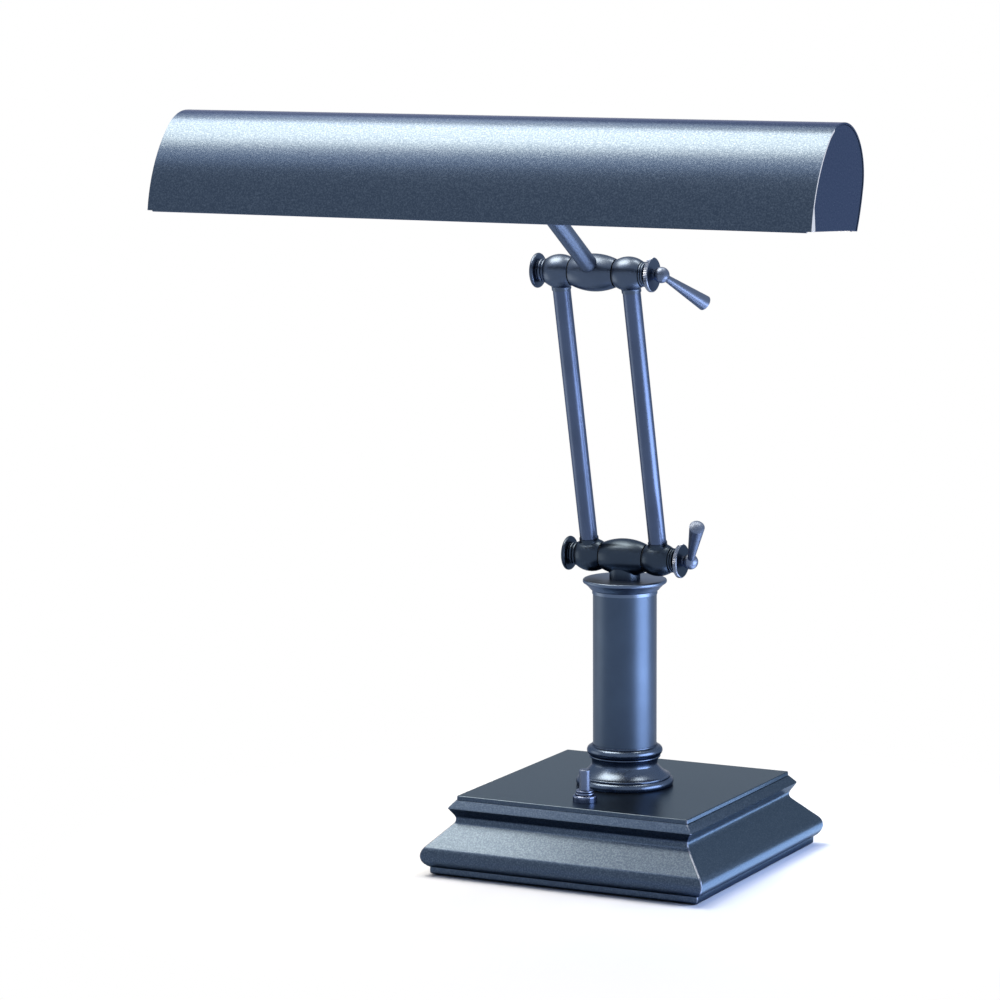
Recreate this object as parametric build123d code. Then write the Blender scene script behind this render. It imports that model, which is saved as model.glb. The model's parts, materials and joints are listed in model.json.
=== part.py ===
from build123d import *
from math import acos, atan2, cos, degrees, hypot, radians, sin, tan
import os

# Fits and allowances, mm
OVERRUN = 2.0
SEAT_GAP = 0.05
RUNNING_GAP = 0.06
FACE_GAP = 0.1
EASE_GAP = 0.4
WIRE_RADIUS = 0.9
WIRE_OFFSET = 1.3
WIRE_BEND = 4.0
WIRE_FLOOR_GAP = 1.4
WIRE_ENTRY = 2.0

# Square base, half widths measured from the column axis
BASE_HEIGHT = 41.0
FELT_THICKNESS = 1.6
COVER_THICKNESS = 1.6
TABLE_GAP = 0.6
FOOT_HALF = 76.2
FOOT_ROUND = 1.2
FOOT_RIM = 2.1
COVER_GAP = 0.2
LEDGE_WIDTH = 2.5
BULLNOSE_RADIUS = 6.8
BULLNOSE_HALF = 80.1
BULLNOSE_HEIGHT_SHARE = 0.2561
COVE_RADIUS = 3.4
COVE_HALF = 69.53
COVE_HEIGHT_SHARE = 0.7
SOFFIT_LEAN = 33.0
LIP_HEIGHT_SHARE = 0.8415
SLAB_HALF = 65.65
SLAB_THICKNESS = 2.4
SLAB_QUIRK = 0.45
SLAB_ROUND = 0.5
CASTING_WALL = 4.5
ROOF_THICKNESS = 4.5
BOSS_RADIUS = 5.0
BOSS_PLACE = 55.0
WEIGHT_SWITCH_GAP = 1.0
WEIGHT_CORNER = 6.0

# Cover screws
SCREW_RADIUS = 1.7
SCREW_HEAD_RADIUS = 3.3
SCREW_HEAD_HEIGHT = 1.4
SCREW_LENGTH = 12.0
SLOT_WIDTH = 0.8
SLOT_DEPTH = 0.6

# Cord inlet in the back of the base
BUSHING_FLANGE_RADIUS = 5.6
BUSHING_FLANGE = 1.2
BUSHING_RADIUS = 4.4
BUSHING_BORE = 3.2
BUSHING_BARB = 0.7
BUSHING_BARB_LENGTH = 1.4
SPOT_DEPTH = 1.1

# Push switch in front of the column
SWITCH_Y = -48.5
SWITCH_WIDTH = 16.0
SWITCH_DEPTH = 18.0
SWITCH_HEIGHT = 20.0
SWITCH_CORNER = 1.2
SWITCH_NUT_RADIUS = 6.2
SWITCH_NUT_HEIGHT = 3.5
SWITCH_NUT_ROUND = 1.0
COLLAR_RADIUS = 5.0
COLLAR_HEIGHT = 2.6
BUTTON_RADIUS = 2.9
BUTTON_RISE = 10.7
BUTTON_ROUND = 0.7
BUTTON_FLANGE_RADIUS = 4.0
BUTTON_FLANGE = 1.5
BUTTON_TRAVEL = 3.0
CHAMBER_ROOF = 2.5

# Column and the threaded pipe inside it
COLUMN_RADIUS = 16.75
COLUMN_WALL = 1.6
COLUMN_LENGTH = 80.0
COLUMN_FOOT_HEIGHT = 21.5
COLUMN_CAP_HEIGHT = 7.8
SPIGOT_LENGTH = 6.0
PIPE_RADIUS = 5.0
PIPE_BORE = 3.4
PIPE_TOP_GAP = 4.2
PIPE_TAIL = 2.5
PIPE_FLOOR_GAP = 6.2
PIPE_NUT_FLATS = 15.0
PIPE_NUT_HEIGHT = 5.0
PIPE_WASHER_RADIUS = 12.0
PIPE_WASHER_HEIGHT = 1.6

# Hinges, the lower and the upper one alike
NECK_RADIUS = 8.1
NECK_LENGTH = 11.4
NECK_FILLET = 1.0
BARREL_HALF = 12.1
BARREL_RADIUS = 9.7
BARREL_END_RADIUS = 7.2
BARREL_END_WALL = 2.6
BARREL_HOLLOW_RADIUS = 5.6
WASHER_THICKNESS = 0.6
WASHER_RADIUS = 6.4
KNUCKLE_WIDTH = 13.9
KNUCKLE_RADIUS = 8.8
KNUCKLE_INNER_RADIUS = 7.1
KNUCKLE_OUTER_RADIUS = 6.5
KNUCKLE_FILLET = 1.2
TUBE_SOCKET_RADIUS = 5.05
TUBE_SOCKET_REACH = 9.6
TUBE_INSERT = 3.0
BOLT_RADIUS = 2.4
BOLT_END_WALL = 1.8
CAP_NUT_RADIUS = 9.0
CAP_NUT_LENGTH = 7.4
CLAMP_COLLAR_RADIUS = 6.4
CLAMP_COLLAR_LENGTH = 4.2
CLAMP_DISC_RADIUS = 8.9
CLAMP_DISC_LENGTH = 2.3
KNURL_COUNT = 64
KNURL_DEPTH = 0.35
KNURL_CHAMFER = 0.5
BALL_RADIUS = 4.1
BALL_STANDOFF = 4.2
BALL_NECK_RADIUS = 2.7
BALL_SPIGOT_RADIUS = 1.8
BALL_FLAT = 3.6
LEVER_LENGTH = 33.3
LEVER_ANGLE = 66.7
LEVER_ROOT_RADIUS = 1.85
LEVER_TIP_RADIUS = 4.0
LEVER_DOME = 1.2
LEVER_SPIGOT_RADIUS = 1.1
LEVER_SPIGOT_LENGTH = 2.4
LOWER_LEVER_TURN = 42.9
UPPER_LEVER_TURN = -122.4

# Arms and the rod of the shade
ARM_LENGTH = 156.0
ARM_LEAN = 13.5
TUBE_RADIUS = 4.65
TUBE_WALL = 1.0
ROD_ELEVATION = 33.3
ROD_REACH = 86.1

# Shade section: a front arc, a crown arc and a back arc, headings from straight up
SHADE_LENGTH = 355.6
SHADE_SHEET = 1.0
SHADE_FRONT_RADIUS = 70.6
SHADE_CROWN_RADIUS = 25.5
SHADE_BACK_RADIUS = 100.4
FRONT_LIP_HEADING = 7.84
CROWN_START_HEADING = 45.7
CROWN_END_HEADING = 193.7
BACK_LIP_HEADING = 206.0
HEM_RADIUS = 1.1
HEM_RISE = 0.5
HEM_SETBACK = 2.6
END_PLATE_THICKNESS = 1.2
END_PLATE_SETBACK = 0.2

# Mount of the shade on the rod
MOUNT_TILT = 15.5
ELBOW_STANDOFF = 8.0
ELBOW_RADIUS = 7.3
ELBOW_NECK_RADIUS = 6.2
ELBOW_FLANGE_RADIUS = 9.0
ELBOW_FLANGE = 3.0
ELBOW_SEAT = 2.5
WIRE_WAY_RADIUS = 2.6
NIPPLE_RADIUS = 4.0
NIPPLE_TAIL = 1.5
SPACER_RADIUS = 8.0
SPACER_FLAT = 2.6
MOUNT_NUT_FLATS = 13.0
MOUNT_NUT_HEIGHT = 4.0

# Socket bracket, sockets and bulbs
SOCKET_DEPTH = 25.0
BRACKET_SHEET = 1.2
BRACKET_PLATE_HALF = 8.0
BRACKET_EAR_X = 11.0
BRACKET_EAR_RADIUS = 10.0
SOCKET_RADIUS = 16.0
SOCKET_LENGTH = 32.0
SOCKET_FLOOR = 5.0
SCREW_SHELL_RADIUS = 13.9
SCREW_SHELL_WALL = 0.5
SCREW_SHELL_LENGTH = 25.0
CONTACT_RADIUS = 3.2
CONTACT_HEIGHT = 1.4
SOCKET_SCREW_RADIUS = 1.5
SOCKET_SCREW_HEAD = 3.0
SOCKET_SCREW_HEAD_HEIGHT = 1.8
SOCKET_SCREW_DEPTH = 3.6
LEAD_HOLE_OFFSET = 8.0
LEAD_HOLE_DEPTH = 3.0
BULB_CAP_RADIUS = 13.2
BULB_CAP_LENGTH = 27.0
BULB_CAP_WALL = 0.5
BULB_TIP_RADIUS = 4.5
BULB_TIP_HEIGHT = 1.6
BULB_CONE_HEIGHT = 4.0
BULB_RADIUS = 16.0
BULB_END_GAP = 17.6
BULB_NECK_RADIUS = 12.4
BULB_NECK_LENGTH = 12.0
BULB_SHOULDER = 14.0
GLASS_WALL = 0.8

# Turned outlines as shares of the column radius and of the piece's own height
COLUMN_FOOT_SHARES = [
    [(0, 0)], [(1.49, 0)], [(1.53, 0.085), (1.46, 0.180)], [(1.432, 0.190)], [(1.436, 0.218)],
    [(1.425, 0.244), (1.392, 0.254)], [(1.358, 0.262)], [(1.165, 0.376), (1.036, 0.500)],
    [(1.036, 0.590), (1.07, 0.672)], [(1.103, 0.684)], [(1.126, 0.711), (1.103, 0.738)],
    [(1.088, 0.744)], [(1.19, 0.850), (1.068, 0.962)], [(1.03, 0.972)], [(1.03, 1)], [(0, 1)],
]
COLUMN_CAP_SHARES = [
    [(0, 0)], [(1.022, 0)], [(1.022, 0.24)], [(1.07, 0.29)], [(1.16, 0.513), (1.272, 0.718)],
    [(1.296, 0.744)], [(1.316, 0.872), (1.296, 0.974)], [(1.266, 1)], [(0, 1)],
]
# Beaded top of the switch collar as shares of its radius and its height
COLLAR_SHARES = [
    [(0, 0)], [(0.95, 0)], [(1.0, 0.24), (0.95, 0.48)], [(0.87, 0.52)], [(0.92, 0.74), (0.87, 0.95)],
    [(0.82, 1)], [(0, 1)],
]
# Stepped cap of a hinge as shares of its flange radius and its length
CAP_NUT_SHARES = [
    [(0, 0)], [(0.64, 0)], [(0.69, 0.10), (0.64, 0.20)], [(0.61, 0.22)],
    [(0.65, 0.24)], [(0.70, 0.34), (0.65, 0.44)], [(0.62, 0.47)], [(0.62, 0.55)],
    [(0.93, 0.58)], [(1.0, 0.70), (0.93, 0.86)], [(0.55, 0.97), (0.15, 1)], [(0, 1)],
]
# Collar of a clamp nut as shares of its radius and its length
CLAMP_COLLAR_SHARES = [
    [(0, 0)], [(0.95, 0)], [(1.0, 0.14), (0.95, 0.28)], [(0.91, 0.30)], [(0.95, 0.32)],
    [(1.0, 0.46), (0.95, 0.60)], [(0.84, 0.66)], [(0.84, 1)], [(0, 1)],
]


STANDING = (Align.CENTER, Align.CENTER, Align.MIN)


def polar(centre, radius, angle):
    """Point at an angle in degrees on a circle."""
    return (centre[0] + radius * cos(radians(angle)), centre[1] + radius * sin(radians(angle)))


def face_of(rows):
    """Closed face from rows of one point for a line or two points for an arc through the first."""
    here = rows[0][0]
    edges = []
    for row in rows[1:]:
        edges.append(Line(here, row[0]) if len(row) == 1 else ThreePointArc(here, row[0], row[1]))
        here = row[-1]
    edges.append(Line(here, rows[0][0]))
    return make_face(edges)


def spun(rows):
    """Solid of revolution about Z from rows of radius and height."""
    return revolve(Plane.XZ * face_of(rows), Axis.Z)


def turned(shares, radius, height):
    """Solid of revolution from rows of radius shares and height shares."""
    return spun([[(r * radius, h * height) for r, h in row] for row in shares])


def rod_between(radius, low, high):
    """Plain round bar along Z."""
    return Pos(0, 0, low) * Cylinder(radius, high - low, align=STANDING)


def tube_between(radius, bore, low, high):
    """Plain tube along Z."""
    return rod_between(radius, low, high) - rod_between(bore, low - OVERRUN, high + OVERRUN)


def hex_nut(flats, bore, low, height):
    """Hexagon nut along Z with its bore."""
    blank = extrude(RegularPolygon(flats / 2, 6, major_radius=False), height)
    return Pos(0, 0, low) * (blank - rod_between(bore, -OVERRUN, height + OVERRUN))


def slab_between(half, low, high):
    """Square plate centred on Z."""
    return Pos(0, 0, low) * Box(2 * half, 2 * half, high - low, align=STANDING)


# Places that several pieces share
LEDGE_Z = FELT_THICKNESS + COVER_THICKNESS
ROOF_Z = BASE_HEIGHT - ROOF_THICKNESS
RECESS_HALF = FOOT_HALF - FOOT_RIM
CAVITY_LOW_HALF = RECESS_HALF - LEDGE_WIDTH
BULLNOSE_Z = BULLNOSE_HEIGHT_SHARE * BASE_HEIGHT
LIP_Z = LIP_HEIGHT_SHARE * BASE_HEIGHT
NOSE = (BULLNOSE_HALF - BULLNOSE_RADIUS, BULLNOSE_Z)
COVE = (COVE_HALF, COVE_HEIGHT_SHARE * BASE_HEIGHT)
ROUNDS_RUN = COVE[0] - NOSE[0]
ROUNDS_RISE = COVE[1] - NOSE[1]
ROUNDS_TURN = acos((BULLNOSE_RADIUS + COVE_RADIUS) / hypot(ROUNDS_RUN, ROUNDS_RISE))
SLOPE_ANGLE = degrees(atan2(ROUNDS_RISE, ROUNDS_RUN) - ROUNDS_TURN)
SLOPE_COS = cos(radians(SLOPE_ANGLE))
SLOPE_SIN = sin(radians(SLOPE_ANGLE))
SLOPE_REACH = NOSE[0] * SLOPE_COS + NOSE[1] * SLOPE_SIN + BULLNOSE_RADIUS
PIPE_LOW = LEDGE_Z + PIPE_FLOOR_GAP
PIPE_NUT_TOP = PIPE_LOW + PIPE_TAIL + PIPE_NUT_HEIGHT
WEIGHT_LOW = PIPE_NUT_TOP + PIPE_WASHER_HEIGHT
WEIGHT_HALF = -SWITCH_Y - SWITCH_DEPTH / 2 - WEIGHT_SWITCH_GAP
COLUMN_FOOT_TOP = BASE_HEIGHT + COLUMN_FOOT_HEIGHT
COLUMN_TOP = COLUMN_FOOT_TOP + COLUMN_LENGTH
CAP_TOP = COLUMN_TOP + COLUMN_CAP_HEIGHT
LOWER_AXIS_Z = CAP_TOP + NECK_LENGTH
KNUCKLE_START = BARREL_HALF + FACE_GAP + WASHER_THICKNESS
KNUCKLE_END = KNUCKLE_START + KNUCKLE_WIDTH
ARM_X = KNUCKLE_START + KNUCKLE_WIDTH / 2
DISC_START = KNUCKLE_END + FACE_GAP + CLAMP_COLLAR_LENGTH
DISC_END = DISC_START + CLAMP_DISC_LENGTH
BALL_X = DISC_END + BALL_STANDOFF

ALONG_X = Rot(0, 90, 0)
LOWER_HINGE = Pos(0, 0, LOWER_AXIS_Z)
ARM_FOOT = LOWER_HINGE * Rot(ARM_LEAN, 0, 0)
ARM_HEAD = ARM_FOOT * Pos(0, 0, ARM_LENGTH)
UPPER_AXIS_Y = -ARM_LENGTH * sin(radians(ARM_LEAN))
UPPER_AXIS_Z = LOWER_AXIS_Z + ARM_LENGTH * cos(radians(ARM_LEAN))
UPPER_HINGE = Pos(0, UPPER_AXIS_Y, UPPER_AXIS_Z)
ROD_FRAME = UPPER_HINGE * Rot(90 - ROD_ELEVATION, 0, 0)
ELBOW_Y = UPPER_AXIS_Y - ROD_REACH * cos(radians(ROD_ELEVATION))
ELBOW_Z = UPPER_AXIS_Z + ROD_REACH * sin(radians(ROD_ELEVATION))
WALL_POINT = polar((ELBOW_Y, ELBOW_Z), ELBOW_STANDOFF, 180 - MOUNT_TILT)
MOUNT_FRAME = Pos(0, *WALL_POINT) * Rot(90 - MOUNT_TILT, 0, 0)
EAR_OUTER_X = BRACKET_EAR_X + BRACKET_SHEET
NIPPLE_END = SPACER_FLAT + BRACKET_SHEET + MOUNT_NUT_HEIGHT + NIPPLE_TAIL


# Base

def base_rows():
    """Half outline of the moulded base from the underside to the top."""
    foot_turn = -degrees(acos((FOOT_HALF - NOSE[0]) / BULLNOSE_RADIUS))
    nose_turn = (foot_turn + SLOPE_ANGLE) / 2
    cove_turn = 180 + (SLOPE_ANGLE - SOFFIT_LEAN) / 2
    soffit = polar(COVE, COVE_RADIUS, 180 - SOFFIT_LEAN)
    lip_half = soffit[0] + (LIP_Z - soffit[1]) * tan(radians(SOFFIT_LEAN))
    foot_corner = (FOOT_HALF - FOOT_ROUND, TABLE_GAP + FOOT_ROUND)
    slab_corner = (SLAB_HALF - SLAB_ROUND, BASE_HEIGHT - SLAB_ROUND)
    slab_z = BASE_HEIGHT - SLAB_THICKNESS
    return [
        [(0, TABLE_GAP)],
        [(foot_corner[0], TABLE_GAP)],
        [polar(foot_corner, FOOT_ROUND, -45), (FOOT_HALF, foot_corner[1])],
        [polar(NOSE, BULLNOSE_RADIUS, foot_turn)],
        [polar(NOSE, BULLNOSE_RADIUS, nose_turn), polar(NOSE, BULLNOSE_RADIUS, SLOPE_ANGLE)],
        [polar(COVE, COVE_RADIUS, 180 + SLOPE_ANGLE)],
        [polar(COVE, COVE_RADIUS, cove_turn), soffit],
        [(lip_half, LIP_Z)],
        [(SLAB_HALF + SLAB_QUIRK, slab_z)],
        [(SLAB_HALF, slab_z)],
        [(SLAB_HALF, slab_corner[1])],
        [polar(slab_corner, SLAB_ROUND, 45), (slab_corner[0], BASE_HEIGHT)],
        [(0, BASE_HEIGHT)],
    ]


def cavity_rows():
    """Half outline of the hollow inside the base, a wall away from the slope and the cove."""
    high_half = COVE[0] - COVE_RADIUS - CASTING_WALL
    reach = SLOPE_REACH - CASTING_WALL
    return [
        [(0, LEDGE_Z)],
        [(CAVITY_LOW_HALF, LEDGE_Z)],
        [(CAVITY_LOW_HALF, (reach - CAVITY_LOW_HALF * SLOPE_COS) / SLOPE_SIN)],
        [(high_half, (reach - high_half * SLOPE_COS) / SLOPE_SIN)],
        [(high_half, ROOF_Z)],
        [(0, ROOF_Z)],
    ]


def four_sided(rows):
    """Solid whose four sides follow one half outline and meet in mitres."""
    half = extrude(Plane.XZ * face_of(rows), BULLNOSE_HALF + OVERRUN, both=True)
    ridge = half + mirror(half, about=Plane.YZ)
    return ridge & Rot(0, 0, 90) * ridge


def cord_bushing():
    """Flanged inlet along Z with the seat of its flange at zero."""
    depth = BULLNOSE_HALF - SPOT_DEPTH - CAVITY_LOW_HALF
    barb = BUSHING_RADIUS + BUSHING_BARB
    rows = [
        [(BUSHING_BORE, BUSHING_FLANGE)], [(BUSHING_FLANGE_RADIUS, BUSHING_FLANGE)],
        [(BUSHING_FLANGE_RADIUS, 0)], [(BUSHING_RADIUS, 0)], [(BUSHING_RADIUS, -depth - FACE_GAP)],
        [(barb, -depth - FACE_GAP)], [(BUSHING_RADIUS, -depth - FACE_GAP - BUSHING_BARB_LENGTH)],
        [(BUSHING_BORE, -depth - FACE_GAP - BUSHING_BARB_LENGTH)],
    ]
    return spun(rows)


def cover_screw(gap):
    """Countersunk screw with its head flush with the underside of the cover."""
    neck = FELT_THICKNESS + SCREW_HEAD_HEIGHT
    end = FELT_THICKNESS + SCREW_LENGTH
    return spun([
        [(0, FELT_THICKNESS)], [(SCREW_HEAD_RADIUS + gap, FELT_THICKNESS)], [(SCREW_RADIUS + gap, neck)],
        [(SCREW_RADIUS + gap, end + gap)], [(0, end + gap)],
    ])


BUSHING_PLACE = Pos(0, BULLNOSE_HALF - SPOT_DEPTH, BULLNOSE_Z) * Rot(-90, 0, 0)
SCREW_PLACES = GridLocations(2 * BOSS_PLACE, 2 * BOSS_PLACE, 2, 2)


def base_casting():
    body = four_sided(base_rows()) - four_sided(cavity_rows())
    body -= slab_between(RECESS_HALF, -OVERRUN, LEDGE_Z)
    for place in SCREW_PLACES:
        body += place * rod_between(BOSS_RADIUS, LEDGE_Z, ROOF_Z + ROOF_THICKNESS / 2)
        body -= place * cover_screw(SEAT_GAP)
    for y, radius in ((0, PIPE_RADIUS), (SWITCH_Y, COLLAR_RADIUS)):
        body -= Pos(0, y, 0) * rod_between(radius + SEAT_GAP, ROOF_Z - OVERRUN, BASE_HEIGHT + OVERRUN)
    spot = rod_between(BUSHING_FLANGE_RADIUS + SEAT_GAP, 0, SPOT_DEPTH + OVERRUN)
    hole = rod_between(BUSHING_RADIUS + SEAT_GAP, CAVITY_LOW_HALF - BULLNOSE_HALF - OVERRUN, OVERRUN)
    return body - BUSHING_PLACE * (spot + hole)


def base_weight():
    block = slab_between(WEIGHT_HALF, WEIGHT_LOW, ROOF_Z)
    block = fillet(block.edges().filter_by(Axis.Z), WEIGHT_CORNER)
    return block - rod_between(PIPE_RADIUS + EASE_GAP, WEIGHT_LOW - OVERRUN, ROOF_Z + OVERRUN)


def bottom_cover():
    plate = slab_between(RECESS_HALF - COVER_GAP, FELT_THICKNESS, LEDGE_Z)
    for place in SCREW_PLACES:
        plate -= place * cover_screw(SEAT_GAP)
    return plate


def cover_screws():
    slot = Pos(0, 0, FELT_THICKNESS + SLOT_DEPTH / 2) * Box(2 * SCREW_HEAD_RADIUS, SLOT_WIDTH, SLOT_DEPTH)
    return Compound([(place * (cover_screw(0) - slot)).solid() for place in SCREW_PLACES])


# Push switch

def switch_body():
    case = Pos(0, 0, ROOF_Z - SWITCH_HEIGHT) * Box(SWITCH_WIDTH, SWITCH_DEPTH, SWITCH_HEIGHT, align=STANDING)
    case = fillet(case.edges().filter_by(Axis.Z), SWITCH_CORNER)
    nut_top = BASE_HEIGHT + SWITCH_NUT_HEIGHT
    collar_top = nut_top + COLLAR_HEIGHT
    case += rod_between(COLLAR_RADIUS, ROOF_Z, nut_top)
    case += Pos(0, 0, nut_top) * turned(COLLAR_SHARES, COLLAR_RADIUS, COLLAR_HEIGHT)
    chamber_top = ROOF_Z - CHAMBER_ROOF
    drop = BUTTON_FLANGE + BUTTON_TRAVEL + 2 * FACE_GAP
    case -= rod_between(BUTTON_FLANGE_RADIUS + EASE_GAP, chamber_top - drop, chamber_top)
    return case - rod_between(BUTTON_RADIUS + RUNNING_GAP, chamber_top - drop, collar_top + OVERRUN)


def switch_nut():
    corner = (SWITCH_NUT_RADIUS - SWITCH_NUT_ROUND, SWITCH_NUT_HEIGHT - SWITCH_NUT_ROUND)
    bore = COLLAR_RADIUS + SEAT_GAP
    return Pos(0, 0, BASE_HEIGHT) * spun([
        [(bore, 0)], [(SWITCH_NUT_RADIUS, 0)], [(SWITCH_NUT_RADIUS, corner[1])],
        [polar(corner, SWITCH_NUT_ROUND, 45), (corner[0], SWITCH_NUT_HEIGHT)], [(bore, SWITCH_NUT_HEIGHT)],
    ])


def switch_button():
    low = ROOF_Z - CHAMBER_ROOF - FACE_GAP - BUTTON_FLANGE
    top = BASE_HEIGHT + SWITCH_NUT_HEIGHT + COLLAR_HEIGHT + BUTTON_RISE
    corner = (BUTTON_RADIUS - BUTTON_ROUND, top - BUTTON_ROUND)
    return spun([
        [(0, low)], [(BUTTON_FLANGE_RADIUS, low)], [(BUTTON_FLANGE_RADIUS, low + BUTTON_FLANGE)],
        [(BUTTON_RADIUS, low + BUTTON_FLANGE)], [(BUTTON_RADIUS, corner[1])],
        [polar(corner, BUTTON_ROUND, 45), (corner[0], top)], [(0, top)],
    ])


def wire(points):
    """Round wire along straight runs with bends of one radius."""
    path = FilletPolyline(*points, radius=WIRE_BEND)
    return sweep(Plane(path @ 0, z_dir=path % 0) * Circle(WIRE_RADIUS), path=path)


def switch_leads():
    """Pair of wires from the switch to the lower end of the pipe."""
    start = ROOF_Z - SWITCH_HEIGHT
    low = LEDGE_Z + WIRE_FLOOR_GAP
    end = PIPE_LOW + WIRE_ENTRY
    return Compound([
        wire([(x, SWITCH_Y, start), (x, SWITCH_Y, low), (x, 0, low), (x, 0, end)]).solid()
        for x in (-WIRE_OFFSET, WIRE_OFFSET)])


# Column, in one stack pulled together by the pipe

TUBE_SPIGOT_RADIUS = COLUMN_RADIUS - COLUMN_WALL - SEAT_GAP


def column_foot():
    body = turned(COLUMN_FOOT_SHARES, COLUMN_RADIUS, COLUMN_FOOT_HEIGHT)
    spigot_top = COLUMN_FOOT_HEIGHT + SPIGOT_LENGTH
    body += rod_between(TUBE_SPIGOT_RADIUS, COLUMN_FOOT_HEIGHT - SPIGOT_LENGTH, spigot_top)
    body -= rod_between(PIPE_RADIUS + EASE_GAP, -OVERRUN, spigot_top + OVERRUN)
    return Pos(0, 0, BASE_HEIGHT) * body


def column_cap():
    body = turned(COLUMN_CAP_SHARES, COLUMN_RADIUS, COLUMN_CAP_HEIGHT)
    body += rod_between(TUBE_SPIGOT_RADIUS, -SPIGOT_LENGTH, SPIGOT_LENGTH)
    body -= rod_between(PIPE_RADIUS + SEAT_GAP, -SPIGOT_LENGTH - OVERRUN, COLUMN_CAP_HEIGHT + OVERRUN)
    return Pos(0, 0, COLUMN_TOP) * body


# Hinge pieces, drawn with the hinge axis along X through the origin

def barrel():
    """Hollow barrel before its bolt bore."""
    outside = spun([
        [(0, -BARREL_HALF)], [(BARREL_END_RADIUS, -BARREL_HALF)],
        [(BARREL_RADIUS, 0), (BARREL_END_RADIUS, BARREL_HALF)], [(0, BARREL_HALF)],
    ])
    return ALONG_X * outside


def hollowed(body):
    """Barrel with its inner room and the bolt bore through both end walls."""
    room = BARREL_HALF - BARREL_END_WALL
    end = BARREL_HALF + OVERRUN
    body -= ALONG_X * rod_between(BARREL_HOLLOW_RADIUS, -room, room)
    return body - ALONG_X * rod_between(BOLT_RADIUS + RUNNING_GAP, -end, end)


def lower_barrel():
    body = barrel()
    neck = rod_between(NECK_RADIUS, -NECK_LENGTH, 0)
    joined = body + neck
    joined = fillet(new_edges(body, neck, combined=joined), NECK_FILLET)
    joined -= rod_between(PIPE_RADIUS + SEAT_GAP, -NECK_LENGTH - OVERRUN, -PIPE_TOP_GAP + SEAT_GAP)
    return hollowed(joined)


def upper_barrel():
    """Barrel with the hole for the shade rod along Z."""
    return hollowed(barrel()) - rod_between(TUBE_RADIUS + SEAT_GAP, 0, BARREL_RADIUS + OVERRUN)


def knuckle():
    """Hinge ball on the right side with its tube socket up along Z."""
    ball = ALONG_X * spun([
        [(0, KNUCKLE_START)], [(KNUCKLE_INNER_RADIUS, KNUCKLE_START)],
        [(KNUCKLE_RADIUS, ARM_X), (KNUCKLE_OUTER_RADIUS, KNUCKLE_END)], [(0, KNUCKLE_END)],
    ])
    socket = Pos(ARM_X, 0, 0) * rod_between(TUBE_SOCKET_RADIUS, 0, TUBE_SOCKET_REACH)
    body = ball + socket
    body = fillet(new_edges(ball, socket, combined=body), KNUCKLE_FILLET)
    body -= Pos(ARM_X, 0, 0) * rod_between(
        TUBE_RADIUS + SEAT_GAP, TUBE_SOCKET_REACH - TUBE_INSERT - SEAT_GAP, TUBE_SOCKET_REACH + OVERRUN)
    bore = rod_between(BOLT_RADIUS + SEAT_GAP, KNUCKLE_START - OVERRUN, KNUCKLE_END + OVERRUN)
    return body - ALONG_X * bore


def bolt():
    """Hinge bolt from inside the left cap to inside the clamp nut."""
    left = KNUCKLE_END + CAP_NUT_LENGTH - BOLT_END_WALL
    return ALONG_X * rod_between(BOLT_RADIUS, -left, DISC_END - BOLT_END_WALL)


def washers():
    low = KNUCKLE_START - WASHER_THICKNESS
    ring = ALONG_X * tube_between(WASHER_RADIUS, BOLT_RADIUS + SEAT_GAP, low, KNUCKLE_START)
    return Compound([ring.solid(), mirror(ring, about=Plane.YZ).solid()])


def cap_nut():
    body = turned(CAP_NUT_SHARES, CAP_NUT_RADIUS, CAP_NUT_LENGTH)
    body -= rod_between(BOLT_RADIUS + SEAT_GAP, -OVERRUN, CAP_NUT_LENGTH - BOLT_END_WALL + SEAT_GAP)
    return Rot(0, -90, 0) * Pos(0, 0, KNUCKLE_END) * body


def clamp_nut():
    """Collar and knurled disc that turn on the bolt."""
    tip = CLAMP_DISC_RADIUS
    teeth = []
    for tooth in range(KNURL_COUNT):
        turn = 360 * tooth / KNURL_COUNT
        teeth.append(polar((0, 0), tip, turn))
        teeth.append(polar((0, 0), tip - KNURL_DEPTH, turn + 180 / KNURL_COUNT))
    rim = tip - KNURL_CHAMFER
    blank = spun([
        [(0, 0)], [(rim, 0)], [(tip, KNURL_CHAMFER)], [(tip, CLAMP_DISC_LENGTH - KNURL_CHAMFER)],
        [(rim, CLAMP_DISC_LENGTH)], [(0, CLAMP_DISC_LENGTH)],
    ])
    disc = extrude(make_face(Polyline(*teeth, close=True)), CLAMP_DISC_LENGTH) & blank
    body = turned(CLAMP_COLLAR_SHARES, CLAMP_COLLAR_RADIUS, CLAMP_COLLAR_LENGTH)
    body += Pos(0, 0, CLAMP_COLLAR_LENGTH) * disc
    end = CLAMP_COLLAR_LENGTH + CLAMP_DISC_LENGTH
    body -= rod_between(BOLT_RADIUS + RUNNING_GAP, -OVERRUN, end - BOLT_END_WALL + FACE_GAP)
    body -= rod_between(BALL_SPIGOT_RADIUS + SEAT_GAP, 0, end + OVERRUN)
    return ALONG_X * Pos(0, 0, KNUCKLE_END + FACE_GAP) * body


def lever_frame(turn):
    """Frame with Z along the handle, at the ball, after turning the clamp about the hinge axis."""
    return Rot(turn, 0, 0) * Pos(BALL_X, 0, 0) * Rot(0, 90 - LEVER_ANGLE, 0)


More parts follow.
